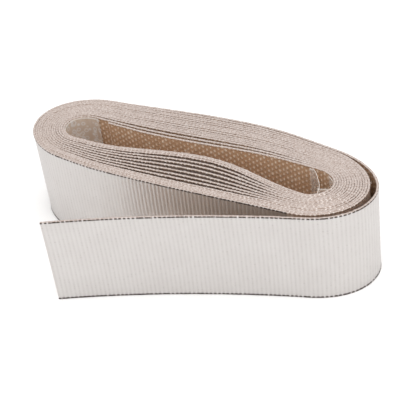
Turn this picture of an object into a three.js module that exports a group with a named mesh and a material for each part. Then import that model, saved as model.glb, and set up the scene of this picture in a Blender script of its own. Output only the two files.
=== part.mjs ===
// Heat shield tape: one long strip of aluminised glass cloth, wound flat into a coil with no core.
// The coil stands on the tape's edge. Its last turn comes loose at the right end and runs out as a tail.
// A piece of clear release film, lifted off the adhesive side, bridges the right end of the bore.
// Millimetres, +Z up, the coil's long axis along X, its back run towards +Y and its tail towards -Y.

import * as THREE from 'three';

// The tape
const tapeWidth = 38.1;
const tapeThickness = 0.7;
const turnCount = 14;

// Gaps between turns: the straight runs lie tight, and the bent ends a little looser
const runGap = 0.14;
const endGap = 0.3;

// The bore: the distance between the centres of its two oval ends, how far each end reaches beyond its centre,
// and how deep it is there towards the back and towards the front
const endCentreSpacing = 102.6;
const boreEndReach = 8.4;
const boreBackDepth = 6.65;
const boreFrontDepth = 7.55;

// Both runs bulge outwards between these points, which lie within the bent ends
const bulgeReachX = 75;

// Back run: all turns bulge outwards, and they sag back into the bore, the two innermost ones most
const backBulge = 6.6;
const backBulgePeakX = 15;
const backSag = 4.9;
const backSagPeakX = -7;
const innermostSag = 2;
const innermostSagTurns = 2;

// Front run: the innermost turns bow into the bore together, the next ones hang apart one by one,
// and the outermost ones lie packed with an outward bulge
const frontBow = 7.5;
const frontBowStartX = -42;
const frontBowPeakX = 9;
const frontBowEndX = 55;
const frontPackedInner = 2.5;
const frontLooseTurns = 7;
const frontBulge = 3.9;
const frontBulgePeakX = -28;

// The tape's inner end lies on the back run, near the left end of the bore
const innerEndInset = 7.5;

// The last turn lies tight on the back run, opens up round the right end and leaves as the tail:
// how far it stands off the coil where that end starts and where the tail leaves, and its slack between them
const loopStartStandoff = 0.4;
const loopEndStandoff = 1.4;
const loopSlack = 1.4;
const tailLeaveAngle = 17.8;
const tailSweep = 11.4;
const tailLength = 98;

// The lifted release film: where it leaves the back run, where it meets the right end again,
// and how far it lies along the tape on either side
const filmThickness = 0.3;
const filmClearance = 0.3;
const filmLiftX = 49;
const filmFootAngle = 52;
const filmBow = 1.4;
const filmLap = 9;

// How finely the curves are divided
const stepsPerRun = 9;
const stepsPerEnd = 10;
const stepsPerTail = 8;
const stepsPerFilm = 6;

const runPitch = tapeThickness + runGap;
const endPitch = tapeThickness + endGap;
const endCentreX = endCentreSpacing / 2;
const halfThickness = tapeThickness / 2;

// A full turn has four legs: the back run, the right end, the front run and the left end
const legCount = 4;

// A smooth hump that rises from 0 at its start to 1 at its peak and is back at 0 at its end
function hump(x, start, peak, end) {
  const away = x < peak ? (peak - x) / (peak - start) : (x - peak) / (end - peak);
  return (1 + Math.cos(Math.PI * Math.min(away, 1))) / 2;
}

// How far a turn of the back run is pushed outwards at a point along the coil
function backLift(turn, x) {
  const innermost = innermostSag * Math.max(0, 1 - turn / innermostSagTurns);
  const sag = backSag * (1 - turn / turnCount) + innermost;
  return backBulge * hump(x, -bulgeReachX, backBulgePeakX, bulgeReachX)
    - sag * hump(x, -bulgeReachX, backSagPeakX, bulgeReachX);
}

// How far a turn of the front run is pushed into the bore at a point along the coil
function frontLift(turn, x) {
  const looseness = THREE.MathUtils.clamp(1 - (turn - frontPackedInner) / frontLooseTurns, 0, 1);
  return frontBow * looseness * hump(x, frontBowStartX, frontBowPeakX, frontBowEndX)
    - frontBulge * (1 - looseness) * hump(x, -bulgeReachX, frontBulgePeakX, bulgeReachX);
}

// How far the middle of the tape lies from the coil's long axis, before any bulge
function backDepth(turn) {
  return boreBackDepth + halfThickness + turn * runPitch;
}

function frontDepth(turn) {
  return boreFrontDepth + halfThickness + turn * runPitch;
}

// The middle of the tape on the back run, from left to right
function backRun(turn, along) {
  const x = THREE.MathUtils.lerp(-endCentreX, endCentreX, along);
  const loose = loopStartStandoff * THREE.MathUtils.smoothstep(turn, turnCount, turnCount + 1 / legCount);
  return new THREE.Vector2(x, backDepth(turn) + backLift(turn, x) + loose);
}

// The middle of the tape on the front run, from right to left
function frontRun(turn, along) {
  const x = THREE.MathUtils.lerp(endCentreX, -endCentreX, along);
  return new THREE.Vector2(x, frontLift(turn, x) - frontDepth(turn));
}

// The middle of the tape round an oval end, clockwise seen from above; side is 1 at the right and -1 at the left,
// and standoff moves it outwards. The runs' bulges fade out round the end.
function roundEnd(side, turn, along, standoff = 0) {
  const angle = side * Math.PI / 2 - Math.PI * along;
  const reach = boreEndReach + halfThickness + turn * endPitch + standoff;
  const backShare = (1 + Math.sin(angle)) / 2;
  const depth = (Math.sin(angle) > 0 ? backDepth(turn) : frontDepth(turn)) + standoff;
  const x = side * endCentreX + reach * Math.cos(angle);
  const lift = backShare * backLift(turn, x) + (1 - backShare) * frontLift(turn, x);
  return new THREE.Vector2(x, depth * Math.sin(angle) + lift);
}

const legs = [
  { steps: stepsPerRun, point: backRun },
  { steps: stepsPerEnd, point: (turn, along) => roundEnd(1, turn, along) },
  { steps: stepsPerRun, point: frontRun },
  { steps: stepsPerEnd, point: (turn, along) => roundEnd(-1, turn, along) },
];

// One leg of the winding, from the share of its length where it starts up to its last step but one
function legPoints(turn, index, start = 0) {
  const leg = legs[index];
  const points = [];
  for (let step = 0; step < leg.steps; step++) {
    const along = THREE.MathUtils.lerp(start, 1, step / leg.steps);
    points.push(leg.point(turn + (index + along) / legCount, along));
  }
  return points;
}

// The loose loop: the last turn stands off the coil at the right end, until it heads off as the tail
function loosePoints() {
  const leave = 1 - tailLeaveAngle / 180;
  const points = [];
  for (let step = 0; step <= stepsPerEnd; step++) {
    const share = step / stepsPerEnd;
    const along = leave * share;
    const slack = loopSlack * hump(share, 0, 0.5, 1);
    const standoff = THREE.MathUtils.lerp(loopStartStandoff, loopEndStandoff, share) + slack;
    points.push(roundEnd(1, turnCount + (1 + along) / legCount, along, standoff));
  }
  return points;
}

// The tail: a gentle arc away from the coil
function tailPoints(start) {
  const points = [];
  const spot = start.clone();
  const stepLength = tailLength / stepsPerTail;
  for (let step = 0; step < stepsPerTail; step++) {
    const heading = THREE.MathUtils.degToRad(tailLeaveAngle + tailSweep * (step + 0.5) / stepsPerTail);
    spot.x -= stepLength * Math.cos(heading);
    spot.y -= stepLength * Math.sin(heading);
    points.push(spot.clone());
  }
  return points;
}

// The middle line of the whole tape, from its inner end to the end of its tail
function tapeLine() {
  const points = legPoints(0, 0, innerEndInset / endCentreSpacing);
  for (let turn = 0; turn < turnCount; turn++) {
    if (turn > 0) {
      points.push(...legPoints(turn, 0));
    }
    points.push(...legPoints(turn, 1), ...legPoints(turn, 2), ...legPoints(turn, 3));
  }
  points.push(...legPoints(turnCount, 0), ...loosePoints());
  points.push(...tailPoints(points.at(-1)));
  return points;
}

// The lifted film: it lies along the back run, crosses the bore in a bow and lies along the right end
function filmLine() {
  const inset = halfThickness + filmClearance + filmThickness / 2;
  const onBackRun = (x) => {
    const along = 0.5 + x / endCentreSpacing;
    return backRun(along / legCount, along).sub(new THREE.Vector2(0, inset));
  };
  const onRightEnd = (angle) => {
    const along = 0.5 + angle / 180;
    return roundEnd(1, (1 + along) / legCount, along, -inset);
  };
  const lift = onBackRun(filmLiftX);
  const foot = onRightEnd(filmFootAngle);
  const points = [onBackRun(filmLiftX - filmLap)];
  for (let step = 0; step <= stepsPerFilm; step++) {
    const share = step / stepsPerFilm;
    const bowed = new THREE.Vector2(filmBow * Math.sin(Math.PI * share), 0);
    points.push(lift.clone().lerp(foot, share).add(bowed));
  }
  const lapAngle = THREE.MathUtils.radToDeg(filmLap / boreEndReach);
  const footLap = Math.min(lapAngle, 90 - filmFootAngle);
  points.push(onRightEnd(filmFootAngle + footLap / 2), onRightEnd(filmFootAngle + footLap));
  return points;
}

// A strip of one thickness that stands on edge along a line
function standingStrip(line, thickness, height) {
  const leftSide = [];
  const rightSide = [];
  line.forEach((point, index) => {
    const before = line[Math.max(index - 1, 0)];
    const after = line[Math.min(index + 1, line.length - 1)];
    const into = point.clone().sub(before).normalize();
    const out = after.clone().sub(point).normalize();
    const ahead = into.add(out).normalize();
    const half = thickness / 2;
    const across = new THREE.Vector2(-ahead.y, ahead.x).multiplyScalar(half);
    leftSide.push(point.clone().add(across));
    rightSide.push(point.clone().sub(across));
  });
  const outline = new THREE.Shape([...leftSide, ...rightSide.reverse()]);
  return new THREE.ExtrudeGeometry(outline, { depth: height, bevelEnabled: false });
}

function namedMesh(name, geometry, material) {
  const mesh = new THREE.Mesh(geometry, material);
  mesh.name = name;
  return mesh;
}

const aluminisedCloth = new THREE.MeshStandardMaterial({ color: 0xd6d3d0, roughness: 0.5, metalness: 0.6 });
const clearFilm = new THREE.MeshStandardMaterial({ color: 0xcfc8bd, roughness: 0.2, metalness: 0 });

const coil = new THREE.Group();
coil.add(namedMesh('tape', standingStrip(tapeLine(), tapeThickness, tapeWidth), aluminisedCloth));
coil.add(namedMesh('release_film', standingStrip(filmLine(), filmThickness, tapeWidth), clearFilm));

// The origin is on the floor, under the middle of the whole piece
const middle = new THREE.Box3().setFromObject(coil).getCenter(new THREE.Vector3());
coil.position.set(-middle.x, -middle.y, 0);

const part = new THREE.Group();
part.add(coil);

export default part;
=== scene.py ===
import math

import bpy
import numpy as np
from mathutils import Matrix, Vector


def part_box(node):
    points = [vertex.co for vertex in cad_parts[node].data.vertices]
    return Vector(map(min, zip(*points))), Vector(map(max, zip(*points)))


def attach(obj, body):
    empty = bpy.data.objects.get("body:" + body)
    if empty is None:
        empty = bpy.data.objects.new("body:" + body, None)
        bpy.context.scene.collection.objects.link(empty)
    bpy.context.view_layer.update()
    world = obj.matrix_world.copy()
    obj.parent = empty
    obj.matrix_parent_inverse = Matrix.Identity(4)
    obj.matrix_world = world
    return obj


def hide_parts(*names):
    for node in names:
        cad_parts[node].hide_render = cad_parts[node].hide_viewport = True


# Heat shield tape: one long strip of woven glass cloth with aluminium foil on its outer side and adhesive
# on its inner side, wound flat into a coil that stands on the tape's edge. Lengths are in metres.

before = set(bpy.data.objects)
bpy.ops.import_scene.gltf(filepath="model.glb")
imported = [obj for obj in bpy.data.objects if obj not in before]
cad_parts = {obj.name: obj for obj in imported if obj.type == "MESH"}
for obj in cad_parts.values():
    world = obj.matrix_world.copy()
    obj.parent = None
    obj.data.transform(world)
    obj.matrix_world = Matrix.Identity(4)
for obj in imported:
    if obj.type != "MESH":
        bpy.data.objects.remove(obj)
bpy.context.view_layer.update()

MM = 0.001
BODY = "root"
TAPE_NODE = "tape"
FILM_NODE = "release_film"

# The tape
TAPE_WIDTH = 38.1 * MM
TAPE_THICKNESS = 0.7 * MM
TURN_COUNT = 14

# Gaps between turns: the straight runs lie tight, and the bent ends a little looser
RUN_GAP = 0.14 * MM
END_GAP = 0.3 * MM
RUN_PITCH = TAPE_THICKNESS + RUN_GAP
END_PITCH = TAPE_THICKNESS + END_GAP
HALF_THICKNESS = TAPE_THICKNESS / 2

# The bore: the distance between the centres of its two oval ends, how far each end reaches beyond its
# centre, and how deep it is there towards the back and towards the front
END_CENTRE_SPACING = 102.6 * MM
END_CENTRE_X = END_CENTRE_SPACING / 2
BORE_END_REACH = 8.4 * MM
BORE_BACK_DEPTH = 6.65 * MM
BORE_FRONT_DEPTH = 7.55 * MM

# How far from the coil's middle the bulges of both runs reach: about to the tips of its ends
BULGE_REACH_X = 75 * MM

# Back run: all turns bulge outwards, and they sag back into the bore, the two innermost ones most
BACK_BULGE = 6.6 * MM
BACK_BULGE_PEAK_X = 15 * MM
BACK_SAG = 4.9 * MM
BACK_SAG_PEAK_X = -7 * MM
INNERMOST_SAG = 2 * MM
INNERMOST_SAG_TURNS = 2

# Front run: the innermost turns bow into the bore together, the next ones hang apart one by one,
# and the outermost ones lie packed with an outward bulge
FRONT_BOW = 7.5 * MM
FRONT_BOW_START_X = -42 * MM
FRONT_BOW_PEAK_X = 9 * MM
FRONT_BOW_END_X = 55 * MM
FRONT_PACKED_INNER = 2.5
FRONT_LOOSE_TURNS = 7
FRONT_BULGE = 3.9 * MM
FRONT_BULGE_PEAK_X = -28 * MM

# A full turn has four legs: the back run, the right end, the front run and the left end
LEG_COUNT = 4

# The tape's inner end lies on the back run, near the left end of the bore
INNER_END_INSET = 7.5 * MM

# The last turn lies tight on the back run, opens up round the right end and leaves as the tail:
# how far it stands off the coil where that end starts and where the tail leaves, and its slack between them
LOOP_START_STANDOFF = 0.4 * MM
LOOP_END_STANDOFF = 1.4 * MM
LOOP_SLACK = 1.4 * MM
TAIL_LEAVE_ANGLE = 17.8
TAIL_SWEEP = 11.4
TAIL_LENGTH = 98 * MM

# The weave: thick weft yarns lie across the tape and show as ribs, and thin warp yarns run along it
RIB_PITCH = 1.65 * MM
YARN_PITCH = 1.18 * MM
RIB_WANDER = 0.16 * MM
WEFT_BOW = 0.35 * MM
FOIL_RIB_DEPTH = 0.17 * MM
FOIL_CROWN_DEPTH = 0.05 * MM
CLOTH_RIB_DEPTH = 0.05 * MM
CLOTH_CROWN_DEPTH = 0.17 * MM
WEAKEST_RIB = 0.55

# Slow waves in the ribs' spacing and in their bow across the width, each given as its length over two pi
WANDER_SCALES = (5.3 * MM, 13.7 * MM, 31 * MM)
BOW_SCALE = 170 * MM

# The slit edges: the yarns' cut ends fluff out sideways, each in a small knob with a notch before the next
EDGE_ZONE = 0.8 * MM
EDGE_ROUNDING = 0.16 * MM
EDGE_FLAT_SHARE = 0.72
FOIL_SIDE_FLUFF = 0.08 * MM
CLOTH_SIDE_FLUFF = 0.27 * MM
NARROWEST_KNOB = 0.5
GROOVE_FLUFF_LOSS = 0.15
EDGE_NOTCH = 0.04 * MM
SHALLOWEST_NOTCH = 0.35
EDGE_RAGGEDNESS = 0.1 * MM

# The top edge stands a little higher here and there, in waves given as their lengths over two pi
TURN_SETTLING = 0.25 * MM
SETTLING_SCALES = (47 * MM, 211 * MM)

# Loose glass fibres that stick out of both slit edges: threads of three sides and three rings
FIBRE_COUNT = 3600
FIBRE_THICKNESS = 0.09 * MM
FIBRE_SHORTEST = 0.5 * MM
FIBRE_LONGEST = 2.0 * MM
FIBRE_SIDES = 3
FIBRE_RINGS = 3
FIBRES_ON_TOP = 0.75

# How far they stray aside, as a share of the tape's thickness, and how far they bow, dip, rise and stand off
# the top edge, as shares of half their own length
FIBRE_STRAY = 0.6
FIBRE_BOW = 0.15
FIBRE_DIP = 0.12
FIBRE_RISE = 0.2
FIBRE_STAND_OFF = 0.08

# How finely the line is followed: points on each leg, the step in which ribs are looked for, stations for
# each rib, rows of points on a face, and the angle past which an edge is shaded as sharp
LEG_POINTS = 400
RIB_SEARCH_STEP = 0.1 * MM
FINE_STATIONS_PER_RIB = 4
PLAIN_STATIONS_PER_RIB = 2
FINE_ROWS_PER_YARN = 3
PLAIN_FACE_ROWS = 3
SHARP_ANGLE = 60

# Where the strip is divided into meshes, in turns, which are counted from the back run's left end
INNER_TURN_END = 1.12
PACKED_TURNS_END = 13.5
OUTER_TURN_END = 14.25

# The strip's sides, which also number its materials, and its slit edges
FOIL, EDGE, CLOTH = 0, 1, 2
BOTTOM, TOP = 0, 1

# The lifted release film: where it leaves the back run, where it meets the right end again, and its laps
FILM_THICKNESS = 0.1 * MM
FILM_CLEARANCE = 0.25 * MM
FILM_LAP_START_X = 47 * MM
FILM_LIFT_X = 49 * MM
FILM_FOOT_ANGLE = 52
FILM_FOOT_LAP_ANGLE = 90
FILM_BOW = 1.4 * MM
FILM_EDGE_INSET = 0.4 * MM

# The pleat behind the bridging film: from the bridge to places on the right end, in degrees from its tip
PLEAT_START = (55.3 * MM, -2.6 * MM)
PLEAT_ANGLES = (12, -8, -33, -58)

# The film in the bore's left end, lifted a little off the cloth: from the front round to the back
POCKET_START_TURN = 0.79
POCKET_END_TURN = 1.004

# Ripples in the film: a narrow wave that sways over its height and a wide one that leans, each given as its
# length over two pi, and how strong they are together
NARROW_RIPPLE = 1.3 * MM
NARROW_RIPPLE_SWAY = 9 * MM
WIDE_RIPPLE = 3.1 * MM
WIDE_RIPPLE_LEAN = 11 * MM
BRIDGE_RIPPLE = 0.16 * MM
PLEAT_RIPPLE = 0.2 * MM
POCKET_RIPPLE = 0.1 * MM

# How finely the film is divided, and how many of its top rows of points its cut edge takes in
FILM_STATION_SPACING = 0.4 * MM
FILM_ROWS = 60
FILM_LAP_POINTS = 12
FILM_SPAN_POINTS = 16
FILM_FOOT_POINTS = 10
POCKET_POINTS = 24
POCKET_LAP_POINTS = 6
CUT_EDGE_ROWS = 2

# How much each kind of film hides of what lies behind it
CLEAR_FILM_OPACITY = 0.22
HAZY_FILM_OPACITY = 0.55
CUT_EDGE_OPACITY = 0.85

# Real sizes of the patterns in the finishes
CREASE_SIZE = 0.4 * MM
RUBBED_PATCH_SIZE = 9 * MM
PRICK_SPACING = 1.9 * MM
DASH_SPACING = 2.4 * MM
DASHED_RIM = 0.9 * MM
DASHED_RIM_FADE = 0.35 * MM
WORN_PATCH_SIZE = 2.6 * MM
STRAND_WIDTH = 0.2 * MM
YARN_END_SIZE = 0.4 * MM
FIBRE_TONE_LENGTH = 1.5 * MM
STREAK_WIDTH = 1.2 * MM
BLISTER_SPACING = 2.1 * MM
PAPER_GRAIN = 4 * MM

# Camera: it looks down by 37.5 degrees from the front right, and is rolled by about 8 degrees
CAMERA_PLACE = (216.9215 * MM, -290.1916 * MM, 299.3 * MM)
CAMERA_TURN = 35.0
CAMERA_TILT = 37.5
CAMERA_ROLL = 8.1
CAMERA_CLIP_START = 10 * MM
LENS = 101.63

# Studio: half the floor's width, the white surround, and the softbox overhead with its power in watts
FLOOR_REACH = 2.0
SURROUND_STRENGTH = 0.95
SOFTBOX_PLACE = (0.25, -0.1, 1.1)
SOFTBOX_SIZE = 1.1
SOFTBOX_POWER = 8.0

# The UV map that holds each point's place in the weave, and the Mix node's colour sockets
WEAVE_MAP = "weave"
MIX_FIRST, MIX_SECOND, MIX_RESULT = 6, 7, 2

# Everything random comes from one seed, and a few ribs more are drawn than the tape's length holds
SEED = 14
SPARE_RIBS = 4


def hump(x, start, peak, end):
    """A smooth hump that rises from 0 at its start to 1 at its peak and is back at 0 at its end."""
    away = np.where(x < peak, (peak - x) / (peak - start), (x - peak) / (end - peak))
    return (1 + np.cos(np.pi * np.clip(away, 0, 1))) / 2


def smooth(x, start, end):
    """A smooth step from 0 at start to 1 at end."""
    share = np.clip((x - start) / (end - start), 0, 1)
    return share * share * (3 - 2 * share)


def back_lift(turn, x):
    """How far a turn of the back run is pushed outwards at a point along the coil."""
    innermost = INNERMOST_SAG * np.clip(1 - turn / INNERMOST_SAG_TURNS, 0, None)
    sag = BACK_SAG * (1 - turn / TURN_COUNT) + innermost
    bulge = BACK_BULGE * hump(x, -BULGE_REACH_X, BACK_BULGE_PEAK_X, BULGE_REACH_X)
    return bulge - sag * hump(x, -BULGE_REACH_X, BACK_SAG_PEAK_X, BULGE_REACH_X)


def front_lift(turn, x):
    """How far a turn of the front run is pushed into the bore at a point along the coil."""
    looseness = np.clip(1 - (turn - FRONT_PACKED_INNER) / FRONT_LOOSE_TURNS, 0, 1)
    bow = FRONT_BOW * looseness * hump(x, FRONT_BOW_START_X, FRONT_BOW_PEAK_X, FRONT_BOW_END_X)
    bulge = FRONT_BULGE * (1 - looseness) * hump(x, -BULGE_REACH_X, FRONT_BULGE_PEAK_X, BULGE_REACH_X)
    return bow - bulge


def back_depth(turn):
    """How far the middle of the tape lies from the coil's long axis at the back, before any bulge."""
    return BORE_BACK_DEPTH + HALF_THICKNESS + turn * RUN_PITCH


def front_depth(turn):
    """How far the middle of the tape lies from the coil's long axis at the front, before any bulge."""
    return BORE_FRONT_DEPTH + HALF_THICKNESS + turn * RUN_PITCH


def back_run(turn, along):
    """The middle of the tape on the back run, from left to right."""
    x = -END_CENTRE_X + END_CENTRE_SPACING * along
    loose = LOOP_START_STANDOFF * smooth(turn, TURN_COUNT, TURN_COUNT + 1 / LEG_COUNT)
    return np.stack([x, back_depth(turn) + back_lift(turn, x) + loose], axis=-1)


def front_run(turn, along):
    """The middle of the tape on the front run, from right to left."""
    x = END_CENTRE_X - END_CENTRE_SPACING * along
    return np.stack([x, front_lift(turn, x) - front_depth(turn)], axis=-1)


def round_end(side, turn, along, standoff=0):
    """The middle of the tape round an oval end, clockwise seen from above; side is 1 at the right and -1 at
    the left, and standoff moves it outwards. The runs' bulges fade out round the end."""
    angle = side * np.pi / 2 - np.pi * along
    reach = BORE_END_REACH + HALF_THICKNESS + turn * END_PITCH + standoff
    back_share = (1 + np.sin(angle)) / 2
    depth = np.where(np.sin(angle) > 0, back_depth(turn), front_depth(turn)) + standoff
    x = side * END_CENTRE_X + reach * np.cos(angle)
    lift = back_share * back_lift(turn, x) + (1 - back_share) * front_lift(turn, x)
    return np.stack([x, depth * np.sin(angle) + lift], axis=-1)


LEGS = [
    back_run,
    lambda turn, along: round_end(1, turn, along),
    front_run,
    lambda turn, along: round_end(-1, turn, along),
]


def leg_line(turn, index, start=0.0):
    """One leg of the winding from above: its points, and the turn that each one lies on."""
    along = np.linspace(start, 1, LEG_POINTS, endpoint=False)
    turns = turn + (index + along) / LEG_COUNT
    return LEGS[index](turns, along), turns


def loose_loop():
    """The last turn round the right end, standing off the coil, until it heads off as the tail."""
    share = np.linspace(0, 1, LEG_POINTS)
    along = share * (1 - TAIL_LEAVE_ANGLE / 180)
    turns = TURN_COUNT + (1 + along) / LEG_COUNT
    slack = LOOP_SLACK * hump(share, 0, 0.5, 1)
    standoff = LOOP_START_STANDOFF + (LOOP_END_STANDOFF - LOOP_START_STANDOFF) * share + slack
    return round_end(1, turns, along, standoff), turns


def tail_line(start, turn):
    """The tail: a gentle arc away from the coil."""
    share = (np.arange(LEG_POINTS) + 0.5) / LEG_POINTS
    heading = np.radians(TAIL_LEAVE_ANGLE + TAIL_SWEEP * share)
    steps = -np.stack([np.cos(heading), np.sin(heading)], axis=-1) * TAIL_LENGTH / LEG_POINTS
    return start + np.cumsum(steps, axis=0), turn + share


def tape_line():
    """The middle line of the whole tape, from its inner end to the end of its tail, and its turns."""
    parts = [leg_line(0, 0, INNER_END_INSET / END_CENTRE_SPACING)]
    parts += [leg_line(0, index) for index in range(1, LEG_COUNT)]
    parts += [leg_line(turn, index) for turn in range(1, TURN_COUNT) for index in range(LEG_COUNT)]
    parts += [leg_line(TURN_COUNT, 0), loose_loop()]
    parts.append(tail_line(parts[-1][0][-1], parts[-1][1][-1]))
    return [np.concatenate(column) for column in zip(*parts)]


def set_in_frame(spots):
    """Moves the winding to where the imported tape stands: in the middle of its box from left to right, and
    with its back on the box's back. Gives the moved spots and the move itself."""
    low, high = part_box(TAPE_NODE)
    left = spots[:, 0].min() - HALF_THICKNESS
    right = spots[:, 0].max() + HALF_THICKNESS
    back = spots[:, 1].max() + HALF_THICKNESS
    shift = np.array([(low.x + high.x - left - right) / 2, high.y - back])
    return spots + shift, shift


line_spots, line_turns = tape_line()
line_spots, coil_shift = set_in_frame(line_spots)
line_steps = np.linalg.norm(np.diff(line_spots, axis=0), axis=1)
line_lengths = np.concatenate([[0], np.cumsum(line_steps)])
line_ways = np.gradient(line_spots, axis=0)
line_ways /= np.linalg.norm(line_ways, axis=1, keepdims=True)
tape_length = line_lengths[-1]

# Each rib, and each knob of both slit edges, differs a little from the next
chance = np.random.default_rng(SEED)
rib_count = int(tape_length / RIB_PITCH) + SPARE_RIBS
knob_heights = chance.uniform(0, 1, (2, rib_count))
notch_depths = chance.uniform(SHALLOWEST_NOTCH, 1, (2, rib_count))
foil_knob_widths, cloth_knob_widths = chance.uniform(NARROWEST_KNOB, 1, (2, rib_count))
rib_strengths = chance.uniform(WEAKEST_RIB, 1, rib_count)


def place_on_line(lengths):
    """Spots on the middle line at these lengths, the way along the tape and the way to its foil side."""
    spots = np.stack([np.interp(lengths, line_lengths, line_spots[:, k]) for k in (0, 1)], axis=-1)
    ways = np.stack([np.interp(lengths, line_lengths, line_ways[:, k]) for k in (0, 1)], axis=-1)
    ways /= np.linalg.norm(ways, axis=1, keepdims=True)
    return spots, ways, np.stack([-ways[:, 1], ways[:, 0]], axis=-1)


def length_at(turn):
    """The length along the tape at which it has come this many turns."""
    return float(np.interp(turn, line_turns, line_lengths))


def weft_phase(lengths, heights):
    """The length along the tape in the weave's own measure, where ribs wander a little and bow across it."""
    wander = sum(np.sin(lengths / scale + index) for index, scale in enumerate(WANDER_SCALES))
    bow = np.sin(np.pi * heights / TAPE_WIDTH) * np.sin(lengths / BOW_SCALE)
    return lengths + RIB_WANDER * wander / len(WANDER_SCALES) + WEFT_BOW * bow


def nearest_rib(lengths):
    """The number of the rib at each of these lengths, in the weave's own measure."""
    return np.clip(np.rint(lengths / RIB_PITCH).astype(int), 0, rib_count - 1)


def weave_depth(lengths, heights, rib_depth, crown_depth):
    """How far the woven face lies below its highest crowns."""
    rib = np.cos(2 * np.pi * lengths / RIB_PITCH)
    crown = np.cos(np.pi * lengths / RIB_PITCH) * np.cos(np.pi * heights / YARN_PITCH)
    strength = rib_strengths[nearest_rib(lengths)]
    return rib_depth * (1 - rib * strength) / 2 + crown_depth * (1 - crown) / 2


def rib_groove(lengths):
    """How near each of these lengths is to the groove between two ribs: 0 on a rib and 1 in a groove."""
    return np.sin(np.pi * lengths / RIB_PITCH) ** 2


def edge_drop(lengths, edge):
    """How far the bottom or the top slit edge stays short of the tape's full width, knob by knob."""
    rib = nearest_rib(lengths)
    knob = EDGE_RAGGEDNESS * knob_heights[edge][rib]
    return knob + EDGE_NOTCH * rib_groove(lengths) * notch_depths[edge][rib]


def edge_fluff(lengths, most, knob_widths):
    """How far a slit edge fluffs out sideways, knob by knob, and this much at the most."""
    return most * knob_widths[nearest_rib(lengths)] * (1 - GROOVE_FLUFF_LOSS * rib_groove(lengths))


def rib_stations(start, end, per_rib):
    """Lengths along the tape from start to end that keep in step with its ribs."""
    finely = np.arange(start, end, RIB_SEARCH_STEP)
    phases = weft_phase(finely, 0)
    step = RIB_PITCH / per_rib
    wanted = step * np.arange(math.ceil(phases[0] / step) + 1, math.floor(phases[-1] / step))
    return np.concatenate([[start], np.interp(wanted, phases, finely), [end]])


def face_heights(fine):
    """The heights of the rows on one face, from the bottom edge to the top edge."""
    count = PLAIN_FACE_ROWS
    if fine:
        count = round((TAPE_WIDTH - 2 * EDGE_ZONE) / YARN_PITCH * FINE_ROWS_PER_YARN)
    return np.linspace(EDGE_ZONE, TAPE_WIDTH - EDGE_ZONE, count)


def section_rows(fine_foil, fine_cloth):
    """The tape's outline as rows: up the foil side, over the top edge, down the cloth side and under the
    bottom edge. Each row has its place across the thickness, from 1 at the foil to -1 at the cloth, its
    height, its side, and the share of the edge's fluff that it takes."""
    rounded = EDGE_FLAT_SHARE
    rim = TAPE_WIDTH - EDGE_ROUNDING
    rows = [(1, EDGE_ROUNDING, FOIL, 1)]
    rows += [(1, height, FOIL, 0) for height in face_heights(fine_foil)]
    rows += [(1, rim, FOIL, 1), (rounded, TAPE_WIDTH, EDGE, 1), (0, TAPE_WIDTH, EDGE, 0)]
    rows += [(-rounded, TAPE_WIDTH, EDGE, 1), (-1, rim, CLOTH, 1)]
    rows += [(-1, height, CLOTH, 0) for height in face_heights(fine_cloth)[::-1]]
    rows += [(-1, EDGE_ROUNDING, CLOTH, 1), (-rounded, 0, EDGE, 1), (rounded, 0, EDGE, 1)]
    return [np.array(column) for column in zip(*rows)]


def strip_points(lengths, rows):
    """The points of a stretch of tape, as stations by rows, and their length and height in the weave."""
    across, heights, sides, fluff = rows
    spots, _, outwards = place_on_line(lengths)
    phase = weft_phase(lengths[:, None], heights[None, :])
    foil_depth = weave_depth(phase, heights, FOIL_RIB_DEPTH, FOIL_CROWN_DEPTH)
    cloth_depth = weave_depth(phase, heights, CLOTH_RIB_DEPTH, CLOTH_CROWN_DEPTH)
    offset = across * HALF_THICKNESS * np.ones_like(phase)
    foil_fluff = edge_fluff(phase, FOIL_SIDE_FLUFF, foil_knob_widths)
    cloth_fluff = edge_fluff(phase, CLOTH_SIDE_FLUFF, cloth_knob_widths)
    offset += fluff * np.where(across > 0, foil_fluff, -cloth_fluff)
    in_face = fluff == 0
    offset -= np.where((sides == FOIL) & in_face, foil_depth, 0)
    offset += np.where((sides == CLOTH) & in_face, cloth_depth, 0)
    top_drop = edge_drop(phase, TOP) * smooth(heights, TAPE_WIDTH - EDGE_ZONE, TAPE_WIDTH)
    bottom_rise = edge_drop(phase, BOTTOM) * (1 - smooth(heights, 0, EDGE_ZONE))
    short_wave, long_wave = (lengths / scale for scale in SETTLING_SCALES)
    settling = TURN_SETTLING * (1 + np.sin(short_wave) * np.cos(long_wave)) / 2
    up = heights - top_drop + bottom_rise + settling[:, None] * smooth(heights, 0, TAPE_WIDTH)
    flat = spots[:, None, :] + outwards[:, None, :] * offset[..., None]
    points = np.concatenate([flat, up[..., None]], axis=-1)
    return points, np.stack([phase, np.broadcast_to(heights, phase.shape)], axis=-1)


def tube_faces(stations, rows):
    """The faces of a closed tube: quads all the way round between its stations, and one over each end."""
    station, row = np.meshgrid(np.arange(stations - 1), np.arange(rows), indexing="ij")
    following = (row + 1) % rows
    corners = [
        station * rows + row,
        station * rows + following,
        (station + 1) * rows + following,
        (station + 1) * rows + row,
    ]
    quads = np.stack(corners, axis=-1).reshape(-1, 4)
    first = np.arange(rows)
    last = (stations - 1) * rows + first[::-1]
    return quads, first, last


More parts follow.
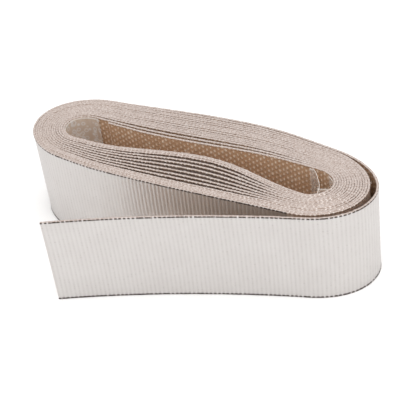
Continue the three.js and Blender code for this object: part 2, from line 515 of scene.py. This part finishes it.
def add_piece(name, points, faces, materials, face_materials=None, weave_places=None):
    """A mesh object from its points and faces, with its materials and its place in the weave as a UV map."""
    mesh = bpy.data.meshes.new(name)
    mesh.from_pydata(points.reshape(-1, 3), [], faces)
    for material in materials:
        mesh.materials.append(material)
    if face_materials is not None:
        mesh.polygons.foreach_set("material_index", face_materials.astype(np.int32))
    if weave_places is not None:
        corners = np.zeros(len(mesh.loops), np.int32)
        mesh.loops.foreach_get("vertex_index", corners)
        places = mesh.uv_layers.new(name=WEAVE_MAP)
        places.uv.foreach_set("vector", weave_places.reshape(-1, 2)[corners].astype(np.float32).ravel())
    mesh.polygons.foreach_set("use_smooth", np.ones(len(mesh.polygons), bool))
    mesh.set_sharp_from_angle(angle=math.radians(SHARP_ANGLE))
    mesh.update()
    piece = bpy.data.objects.new(name, mesh)
    bpy.context.scene.collection.objects.link(piece)
    return piece


def add_tape(name, start, end, materials, fine_foil=False, fine_cloth=False):
    """One stretch of the tape as a closed mesh. A fine side has enough rows and stations for its weave to
    show in the mesh."""
    fine = fine_foil or fine_cloth
    lengths = rib_stations(start, end, FINE_STATIONS_PER_RIB if fine else PLAIN_STATIONS_PER_RIB)
    rows = section_rows(fine_foil, fine_cloth)
    sides = rows[2]
    points, places = strip_points(lengths, rows)
    quads, first, last = tube_faces(len(lengths), len(sides))
    next_sides = np.roll(sides, -1)
    row_materials = np.where(sides == next_sides, sides, EDGE)
    row_materials[(sides == FOIL) | (next_sides == FOIL)] = FOIL
    quad_materials = np.tile(row_materials, len(lengths) - 1)
    face_materials = np.concatenate([quad_materials, [EDGE, EDGE]])
    faces = quads.tolist() + [first.tolist(), last.tolist()]
    piece = add_piece(name, points, faces, materials, face_materials, places)
    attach(piece, BODY)
    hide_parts(TAPE_NODE)


def add_fibres(material):
    """Loose glass fibres on both slit edges: short, slightly bowed threads that lie any way."""
    lengths = chance.uniform(0, tape_length, FIBRE_COUNT)
    on_top = chance.uniform(0, 1, FIBRE_COUNT) < FIBRES_ON_TOP
    reach = chance.uniform(FIBRE_SHORTEST, FIBRE_LONGEST, FIBRE_COUNT) / 2
    turned = chance.uniform(0, np.pi, FIBRE_COUNT)
    tipped = chance.uniform(-FIBRE_DIP, FIBRE_RISE, FIBRE_COUNT)
    aside = chance.uniform(-FIBRE_STRAY, FIBRE_STRAY, FIBRE_COUNT) * TAPE_THICKNESS
    bowed = chance.uniform(-FIBRE_BOW, FIBRE_BOW, FIBRE_COUNT)
    spots, ways, outwards = place_on_line(lengths)
    along = ways * np.cos(turned)[:, None] + outwards * np.sin(turned)[:, None]
    beside = np.stack([-along[:, 1], along[:, 0]], axis=-1)
    middle = spots + outwards * aside[:, None]
    height = np.where(on_top, TAPE_WIDTH, FIBRE_THICKNESS)
    lift = np.where(on_top, 1, 0)
    corners = []
    for share in np.linspace(-1, 1, FIBRE_RINGS):
        bow = beside * bowed[:, None] * (1 - share * share)
        centre = middle + (along * share + bow) * reach[:, None]
        level = height + lift * reach * (tipped * share + FIBRE_STAND_OFF)
        for angle in np.radians(90 + 360 / FIBRE_SIDES * np.arange(FIBRE_SIDES)):
            sideways = beside * math.cos(angle) * FIBRE_THICKNESS / 2
            raised = level + math.sin(angle) * FIBRE_THICKNESS / 2
            corners.append(np.column_stack([centre + sideways, raised]))
    points = np.stack(corners, axis=1)
    quads, first, last = tube_faces(FIBRE_RINGS, FIBRE_SIDES)
    faces = []
    for start in range(0, FIBRE_COUNT * len(corners), len(corners)):
        faces += (quads + start).tolist() + [(first + start).tolist(), (last + start).tolist()]
    piece = add_piece("loose_glass_fibres", points, faces, [material])
    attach(piece, BODY)


def along_points(corners):
    """Evenly spaced points along a line that joins these corners, and how far along it each one lies."""
    corners = np.array(corners)
    steps = np.linalg.norm(np.diff(corners, axis=0), axis=1)
    lengths = np.concatenate([[0], np.cumsum(steps)])
    count = max(3, round(lengths[-1] / FILM_STATION_SPACING))
    wanted = np.linspace(0, lengths[-1], count)
    return np.stack([np.interp(wanted, lengths, corners[:, k]) for k in (0, 1)], axis=-1), wanted


def add_film(name, corners, materials, ripple, replaced=()):
    """A standing piece of film along a line seen from above: a thin closed body with soft ripples."""
    spots, lengths = along_points(np.array(corners) + coil_shift)
    ways = np.gradient(spots, axis=0)
    ways /= np.linalg.norm(ways, axis=1, keepdims=True)
    beside = np.stack([-ways[:, 1], ways[:, 0]], axis=-1)
    up = np.linspace(FILM_EDGE_INSET, TAPE_WIDTH - FILM_EDGE_INSET, FILM_ROWS)
    heights = np.concatenate([up, up[::-1]])
    side = np.concatenate([np.ones(FILM_ROWS), -np.ones(FILM_ROWS)])
    length, height = np.meshgrid(lengths, heights, indexing="ij")
    narrow = np.sin(length / NARROW_RIPPLE + 2 * np.sin(height / NARROW_RIPPLE_SWAY))
    wide = np.sin(length / WIDE_RIPPLE + height / WIDE_RIPPLE_LEAN)
    offset = side * FILM_THICKNESS / 2 + ripple * (narrow + wide) / 2
    flat = spots[:, None, :] + beside[:, None, :] * offset[..., None]
    points = np.concatenate([flat, np.broadcast_to(heights, offset.shape)[..., None]], axis=-1)
    quads, first, last = tube_faces(len(spots), len(heights))
    below_top = up[-1 - CUT_EDGE_ROWS]
    at_top = (heights > below_top) & (np.roll(heights, -1) > below_top)
    face_materials = np.concatenate([np.tile(at_top, len(spots) - 1), [False, False]])
    faces = quads.tolist() + [first.tolist(), last.tolist()]
    piece = add_piece(name, points, faces, materials, face_materials)
    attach(piece, BODY)
    if replaced:
        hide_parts(*replaced)


def on_back_run(x):
    """The film's place on the innermost turn of the back run."""
    along = 0.5 + x / END_CENTRE_SPACING
    return back_run(along / LEG_COUNT, along) - (0, HALF_THICKNESS + FILM_CLEARANCE)


def on_end(side, turn, along):
    """The film's place on the innermost turn round an end."""
    return round_end(side, turn, along, -HALF_THICKNESS - FILM_CLEARANCE)


def on_right_end(angle):
    """The film's place on the right end, at an angle from 0 at its tip to 90 at the front run."""
    along = 0.5 + angle / 180
    return on_end(1, (1 + along) / LEG_COUNT, along)


def add_films(clear_film, hazy_film, cut_edge):
    """All the loose film that shows in the bore."""
    lift = on_back_run(FILM_LIFT_X)
    foot = on_right_end(FILM_FOOT_ANGLE)
    bridge = [on_back_run(x) for x in np.linspace(FILM_LAP_START_X, FILM_LIFT_X, FILM_LAP_POINTS)]
    for share in np.linspace(0, 1, FILM_SPAN_POINTS)[1:]:
        bowed = np.array([FILM_BOW * math.sin(math.pi * share), 0])
        bridge.append(lift + (foot - lift) * share + bowed)
    foot_angles = np.linspace(FILM_FOOT_ANGLE, FILM_FOOT_LAP_ANGLE, FILM_FOOT_POINTS)
    bridge += [on_right_end(angle) for angle in foot_angles[1:]]
    add_film("film_bridge", bridge, [clear_film, cut_edge], BRIDGE_RIPPLE, (FILM_NODE,))

    pleat = [np.array(PLEAT_START)] + [on_right_end(angle) for angle in PLEAT_ANGLES]
    add_film("film_pleat", pleat, [clear_film, cut_edge], PLEAT_RIPPLE)

    # The left end is a turn's last leg, and the next turn starts with the back run
    left_end_start = 1 - 1 / LEG_COUNT
    pocket = []
    for turn in np.linspace(POCKET_START_TURN, 1, POCKET_POINTS):
        pocket.append(on_end(-1, turn, (turn - left_end_start) * LEG_COUNT))
    for turn in np.linspace(1, POCKET_END_TURN, POCKET_LAP_POINTS)[1:]:
        along = (turn - 1) * LEG_COUNT
        pocket.append(back_run(turn, along) - (0, HALF_THICKNESS + FILM_CLEARANCE))
    add_film("film_in_left_end", pocket, [hazy_film, cut_edge], POCKET_RIPPLE)


# Materials


def linear(colour):
    """An sRGB hex colour as linear red, green, blue and alpha."""
    channels = [int(colour[place:place + 2], 16) / 255 for place in (1, 3, 5)]
    return [c / 12.92 if c <= 0.04045 else ((c + 0.055) / 1.055) ** 2.4 for c in channels] + [1.0]


def add_node(tree, kind, inputs=None, **settings):
    """Adds a shader node. Its settings are its own properties, and its inputs are numbers, hex colours,
    sockets that feed it, or nodes that feed it from their first output."""
    node = tree.nodes.new("ShaderNode" + kind)
    for name, value in settings.items():
        setattr(node, name, value)
    for name, value in (inputs or {}).items():
        source = value.outputs[0] if isinstance(value, bpy.types.Node) else value
        if isinstance(source, bpy.types.NodeSocket):
            tree.links.new(source, node.inputs[name])
        else:
            node.inputs[name].default_value = linear(value) if isinstance(value, str) else value
    return node


def new_material(name):
    """An empty material and its node tree."""
    material = bpy.data.materials.new(name)
    material.use_nodes = True
    material.node_tree.nodes.clear()
    return material, material.node_tree


def weave_place(tree):
    """A place in the weave's own measure: the sockets of its length along the tape and of its height."""
    place = add_node(tree, "UVMap", uv_map=WEAVE_MAP)
    parts = add_node(tree, "SeparateXYZ", {"Vector": place})
    return parts.outputs["X"], parts.outputs["Y"]


def yarn_wave(tree, distance, pitch):
    """A wave across yarns that lie a pitch apart: 1 on one yarn and -1 on the next."""
    turned = add_node(tree, "Math", {0: distance, 1: math.pi / pitch}, operation="MULTIPLY")
    return add_node(tree, "Math", {0: turned}, operation="COSINE")


def foil_material(name, light_tone, dark_tone, adhesive_and_gap_shade_tone):
    """Aluminium foil laminated to woven cloth: satin silver, dulled by fine creases over every yarn, with
    painted shade in the grooves between its ribs.
    """
    material, tree = new_material(name)
    length, height = weave_place(tree)
    ribs = yarn_wave(tree, length, RIB_PITCH)
    yarns = yarn_wave(tree, height, YARN_PITCH)
    solid = add_node(tree, "TexCoord").outputs["Object"]

    # Fine creases, and cloudy patches where the foil has rubbed against the next turn
    creases = add_node(tree, "TexNoise", {"Vector": solid, "Scale": 1 / CREASE_SIZE, "Detail": 3.0})
    clouds = add_node(tree, "TexNoise", {"Vector": solid, "Scale": 1 / RUBBED_PATCH_SIZE, "Detail": 2.0})
    rubbed = {"Factor": clouds, MIX_FIRST: light_tone, MIX_SECOND: dark_tone}
    tone = add_node(tree, "Mix", rubbed, data_type="RGBA").outputs[MIX_RESULT]

    # Painted shade darkens the grooves between ribs, and here and there a hollow between two yarns is darker
    # in a spot
    on_rib = add_node(tree, "Math", {0: ribs, 1: ribs}, operation="MULTIPLY")
    groove = add_node(tree, "Math", {0: 1.0, 1: on_rib}, operation="SUBTRACT")
    on_yarn = add_node(tree, "Math", {0: yarns, 1: yarns}, operation="MULTIPLY")
    hollow = add_node(tree, "Math", {0: groove, 1: on_yarn}, operation="MULTIPLY")
    chances = add_node(tree, "TexNoise", {"Vector": solid, "Scale": 1 / PRICK_SPACING, "Detail": 1.0})
    hollow_spots = add_node(tree, "Math", {0: hollow, 1: chances}, operation="MULTIPLY")
    darker_hollow_spots = add_node(tree, "MapRange", {"Value": hollow_spots, "From Min": 0.4, "From Max": 0.75, "To Max": 0.4})
    # Painted shade: every groove between ribs is darkened a little
    painted_groove_shade = add_node(tree, "Math", {0: groove, 1: 0.09}, operation="MULTIPLY")
    groove_shade_and_spots = add_node(tree, "Math", {0: darker_hollow_spots, 1: painted_groove_shade}, operation="ADD")
    dulled = {"Factor": groove_shade_and_spots, MIX_FIRST: tone, MIX_SECOND: "#7F746E"}
    woven = add_node(tree, "Mix", dulled, data_type="RGBA").outputs[MIX_RESULT]

    # Along both slit edges the foil is ripped between the yarns' ends, and the adhesive shows in dashes; on
    # the outer turn and the tail their near-black tone is painted shade in the gaps between the ends
    above_middle = add_node(tree, "Math", {0: height, 1: TAPE_WIDTH / 2}, operation="SUBTRACT")
    from_middle = add_node(tree, "Math", {0: above_middle}, operation="ABSOLUTE")
    rim_start = TAPE_WIDTH / 2 - DASHED_RIM
    rim = add_node(tree, "MapRange", {
        "Value": from_middle, "From Min": rim_start, "From Max": rim_start + DASHED_RIM_FADE,
    })
    ragged = add_node(tree, "TexNoise", {"Vector": solid, "Scale": 1 / DASH_SPACING, "Detail": 2.0})
    between_ends = add_node(tree, "Math", {0: groove, 1: 0.5}, operation="MULTIPLY")
    tears_and_gaps = add_node(tree, "Math", {0: between_ends, 1: ragged}, operation="ADD")
    torn_and_shaded = add_node(tree, "MapRange", {"Value": tears_and_gaps, "From Min": 0.46, "From Max": 0.68})
    dash = add_node(tree, "Math", {0: rim, 1: torn_and_shaded}, operation="MULTIPLY")
    dashed = {"Factor": dash, MIX_FIRST: woven, MIX_SECOND: adhesive_and_gap_shade_tone}
    colour = add_node(tree, "Mix", dashed, data_type="RGBA").outputs[MIX_RESULT]

    roughness = add_node(tree, "MapRange", {"Value": creases, "To Min": 0.36, "To Max": 0.52})
    bump = add_node(tree, "Bump", {"Height": creases, "Strength": 0.22, "Distance": 0.06 * MM})
    shader = add_node(tree, "BsdfPrincipled", {
        "Base Color": colour, "Metallic": 0.85, "Roughness": roughness, "Normal": bump,
    })
    add_node(tree, "OutputMaterial", {"Surface": shader})
    return material


def cloth_material():
    """Plain-woven glass cloth soaked with acrylic adhesive: brown in its hollows and pale on its crowns."""
    material, tree = new_material("glass_cloth_soaked_with_adhesive")
    length, height = weave_place(tree)
    ribs = yarn_wave(tree, length, RIB_PITCH)
    yarns = yarn_wave(tree, height, YARN_PITCH)
    solid = add_node(tree, "TexCoord").outputs["Object"]

    # The weft yarns' crowns: sharpened along the tape, soft across it, and shifted by a yarn at every rib
    near_rib = add_node(tree, "Math", {0: ribs}, operation="ABSOLUTE")
    sharp = add_node(tree, "Math", {0: near_rib, 1: 3.0}, operation="POWER")
    shifted = add_node(tree, "Math", {0: ribs}, operation="SIGN")
    over = add_node(tree, "Math", {0: shifted, 1: yarns}, operation="MULTIPLY")
    soft = add_node(tree, "Math", {0: over, 1: 0.6, 2: 0.4}, operation="MULTIPLY_ADD")
    crowns = add_node(tree, "Math", {0: sharp, 1: soft}, operation="MULTIPLY")

    # The adhesive is worn off them in patches
    patchy = add_node(tree, "TexNoise", {"Vector": solid, "Scale": 1 / WORN_PATCH_SIZE, "Detail": 3.0})
    off_average = add_node(tree, "Math", {0: patchy, 1: 0.5}, operation="SUBTRACT")
    uneven = add_node(tree, "Math", {0: off_average, 1: 1.6}, operation="MULTIPLY")
    worn = add_node(tree, "Math", {0: crowns, 1: uneven}, operation="ADD")
    bare = add_node(tree, "MapRange", {"Value": worn, "From Min": 0.1, "From Max": 1.0, "To Max": 0.85})

    # Single glass filaments would be far too fine to show, so upright bundles of 0.2 mm are drawn
    upright = add_node(tree, "Mapping", {"Vector": solid, "Scale": (1, 1, 0.12)})
    strands = add_node(tree, "TexNoise", {"Vector": upright, "Scale": 1 / STRAND_WIDTH, "Detail": 2.0})
    soaking = {"Factor": strands, MIX_FIRST: "#A47D60", MIX_SECOND: "#CDAB8B"}
    soaked = add_node(tree, "Mix", soaking, data_type="RGBA").outputs[MIX_RESULT]
    baring = {"Factor": bare, MIX_FIRST: soaked, MIX_SECOND: "#F4E3CF"}
    colour = add_node(tree, "Mix", baring, data_type="RGBA").outputs[MIX_RESULT]

    bump = add_node(tree, "Bump", {"Height": strands, "Strength": 0.3, "Distance": 0.08 * MM})
    shader = add_node(tree, "BsdfPrincipled", {
        "Base Color": colour, "Roughness": 0.55, "Coat Weight": 0.2, "Coat Roughness": 0.25, "Normal": bump,
    })
    add_node(tree, "OutputMaterial", {"Surface": shader})
    return material


def edge_material():
    """Slit glass cloth: the yarns' cut ends, pale and fuzzy, with brown adhesive between them."""
    material, tree = new_material("slit_edge_of_glass_cloth")
    length, _ = weave_place(tree)
    ribs = yarn_wave(tree, length, RIB_PITCH)
    solid = add_node(tree, "TexCoord").outputs["Object"]
    ends = add_node(tree, "TexNoise", {"Vector": solid, "Scale": 1 / YARN_END_SIZE, "Detail": 3.0})
    on_rib = add_node(tree, "Math", {0: ribs, 1: ribs}, operation="MULTIPLY")
    knob = add_node(tree, "Math", {0: on_rib, 1: 0.08}, operation="MULTIPLY")
    pale = add_node(tree, "Math", {0: knob, 1: ends}, operation="ADD")
    bare = add_node(tree, "MapRange", {"Value": pale, "From Min": 0.36, "From Max": 0.68})
    baring = {"Factor": bare, MIX_FIRST: "#968379", MIX_SECOND: "#C3B8B2"}
    colour = add_node(tree, "Mix", baring, data_type="RGBA").outputs[MIX_RESULT]
    bump = add_node(tree, "Bump", {"Height": ends, "Strength": 0.5, "Distance": 0.12 * MM})
    shader = add_node(tree, "BsdfPrincipled", {"Base Color": colour, "Roughness": 0.75, "Normal": bump})
    add_node(tree, "OutputMaterial", {"Surface": shader})
    return material


def fibre_material():
    """Bare glass fibre: thin off-white threads with a soft shine."""
    material, tree = new_material("bare_glass_fibre")
    solid = add_node(tree, "TexCoord").outputs["Object"]
    tones = add_node(tree, "TexNoise", {"Vector": solid, "Scale": 1 / FIBRE_TONE_LENGTH, "Detail": 1.0})
    shading = {"Factor": tones, MIX_FIRST: "#B5A398", MIX_SECOND: "#DDD3CD"}
    colour = add_node(tree, "Mix", shading, data_type="RGBA").outputs[MIX_RESULT]
    shader = add_node(tree, "BsdfPrincipled", {"Base Color": colour, "Roughness": 0.4, "IOR": 1.52})
    add_node(tree, "OutputMaterial", {"Surface": shader})
    return material


def film_material(name, opacity, tone, ring_highlight_strength=0.0):
    """Blown polyethylene release film: clear but hazy, with soft upright streaks and a waxy shine, and with
    small blister domes where it still clings to the cloth's crowns, each ringed by a painted highlight."""
    material, tree = new_material(name)
    solid = add_node(tree, "TexCoord").outputs["Object"]

    # Streaks are ten times as tall as they are wide
    upright = add_node(tree, "Mapping", {"Vector": solid, "Scale": (1, 1, 0.1)})
    streaks = add_node(tree, "TexNoise", {"Vector": upright, "Scale": 1 / STREAK_WIDTH, "Detail": 2.0})

    # There is about one blister for each crown of the cloth
    cells = add_node(tree, "TexVoronoi", {"Vector": solid, "Scale": 1 / BLISTER_SPACING})
    past_ring = add_node(tree, "Math", {0: cells.outputs["Distance"], 1: 0.36}, operation="SUBTRACT")
    off_ring = add_node(tree, "Math", {0: past_ring}, operation="ABSOLUTE")
    # A painted highlight: a bright ring round each blister dome, where light would catch it
    painted_ring_highlights = add_node(tree, "MapRange", {
        "Value": off_ring, "From Min": 0.16, "From Max": 0.03, "To Max": ring_highlight_strength,
    })
    streaky = add_node(tree, "Math", {0: streaks, 1: 1 - ring_highlight_strength}, operation="MULTIPLY")
    pale = add_node(tree, "Math", {0: painted_ring_highlights, 1: streaky}, operation="ADD")
    shading = {"Factor": pale, MIX_FIRST: tone, MIX_SECOND: "#FFFFFF"}
    colour = add_node(tree, "Mix", shading, data_type="RGBA").outputs[MIX_RESULT]

    bump = add_node(tree, "Bump", {"Height": streaks, "Strength": 0.4, "Distance": 0.3 * MM})
    shader = add_node(tree, "BsdfPrincipled", {
        "Base Color": colour, "Roughness": 0.28, "IOR": 1.51, "Alpha": opacity, "Normal": bump,
    })
    add_node(tree, "OutputMaterial", {"Surface": shader})
    return material


def floor_material():
    """Matt white paper: an even, shadow-catching ground."""
    material, tree = new_material("matt_white_paper")
    solid = add_node(tree, "TexCoord").outputs["Object"]
    grain = add_node(tree, "TexNoise", {"Vector": solid, "Scale": 1 / PAPER_GRAIN, "Detail": 2.0})
    shading = {"Factor": grain, MIX_FIRST: "#F7F6F5", MIX_SECOND: "#F5F4F3"}
    colour = add_node(tree, "Mix", shading, data_type="RGBA").outputs[MIX_RESULT]
    shader = add_node(tree, "BsdfPrincipled", {"Base Color": colour, "Roughness": 0.9})
    add_node(tree, "OutputMaterial", {"Surface": shader})
    return material


# Camera and studio

def add_camera():
    """The camera at the photograph's viewing angle."""
    turn = math.radians(CAMERA_TURN)
    tilt = math.radians(90 - CAMERA_TILT)
    roll = math.radians(CAMERA_ROLL)
    camera = bpy.data.objects.new("camera", bpy.data.cameras.new("camera"))
    bpy.context.scene.collection.objects.link(camera)
    camera.data.lens = LENS
    camera.data.clip_start = CAMERA_CLIP_START
    stance = Matrix.Rotation(turn, 4, "Z") @ Matrix.Rotation(tilt, 4, "X") @ Matrix.Rotation(-roll, 4, "Z")
    camera.matrix_world = Matrix.Translation(CAMERA_PLACE) @ stance
    bpy.context.scene.camera = camera


def add_softbox():
    """A large square soft light overhead that faces the object."""
    lamp = bpy.data.lights.new("softbox_overhead", "AREA")
    lamp.size = SOFTBOX_SIZE
    lamp.energy = SOFTBOX_POWER
    box = bpy.data.objects.new("softbox_overhead", lamp)
    box.location = SOFTBOX_PLACE
    box.rotation_euler = (-box.location).to_track_quat("-Z", "Y").to_euler()
    bpy.context.scene.collection.objects.link(box)


def add_studio():
    """A plain pale floor, an even white surround and the softbox."""
    half = FLOOR_REACH
    corners = np.array([[-half, -half, 0], [half, -half, 0], [half, half, 0], [-half, half, 0]])
    floor = add_piece("floor", corners, [[0, 1, 2, 3]], [floor_material()])
    world = bpy.data.worlds.new("surround")
    world.use_nodes = True
    world.node_tree.nodes["Background"].inputs["Strength"].default_value = SURROUND_STRENGTH
    world.node_tree.nodes["Background"].inputs["Color"].default_value = (1, 1, 1, 1)
    bpy.context.scene.world = world
    add_softbox()
    bpy.context.scene.view_settings.view_transform = "Standard"


add_camera()
# Its near-black rim tone is painted shade in the gaps between the yarns' ends, over the adhesive
handled_foil = foil_material("aluminium_foil_dulled_by_handling", "#D1CECC", "#C9C5C3", "#3F342E")
fresh_foil = foil_material("aluminium_foil_between_the_turns", "#F6EEE8", "#ECE2DA", "#A08A7C")
edge_and_cloth = [edge_material(), cloth_material()]
seen_sides = [handled_foil] + edge_and_cloth
hidden_sides = [fresh_foil] + edge_and_cloth
inner_end = length_at(INNER_TURN_END)
packed_end = length_at(PACKED_TURNS_END)
outer_end = length_at(OUTER_TURN_END)
add_tape("tape_inner_turn", 0, inner_end, hidden_sides, fine_cloth=True)
add_tape("tape_packed_turns", inner_end, packed_end, hidden_sides)
add_tape("tape_outer_turn", packed_end, outer_end, seen_sides, fine_foil=True)
add_tape("tape_tail", outer_end, tape_length, seen_sides, fine_foil=True, fine_cloth=True)
add_fibres(fibre_material())
add_films(
    film_material("clear_polyethylene_release_film", CLEAR_FILM_OPACITY, "#EBDCCD"),
    film_material("blistered_polyethylene_release_film", HAZY_FILM_OPACITY, "#E6D1BC", ring_highlight_strength=0.7),
    film_material("cut_edge_of_release_film", CUT_EDGE_OPACITY, "#EBDCCD"),
)
add_studio()
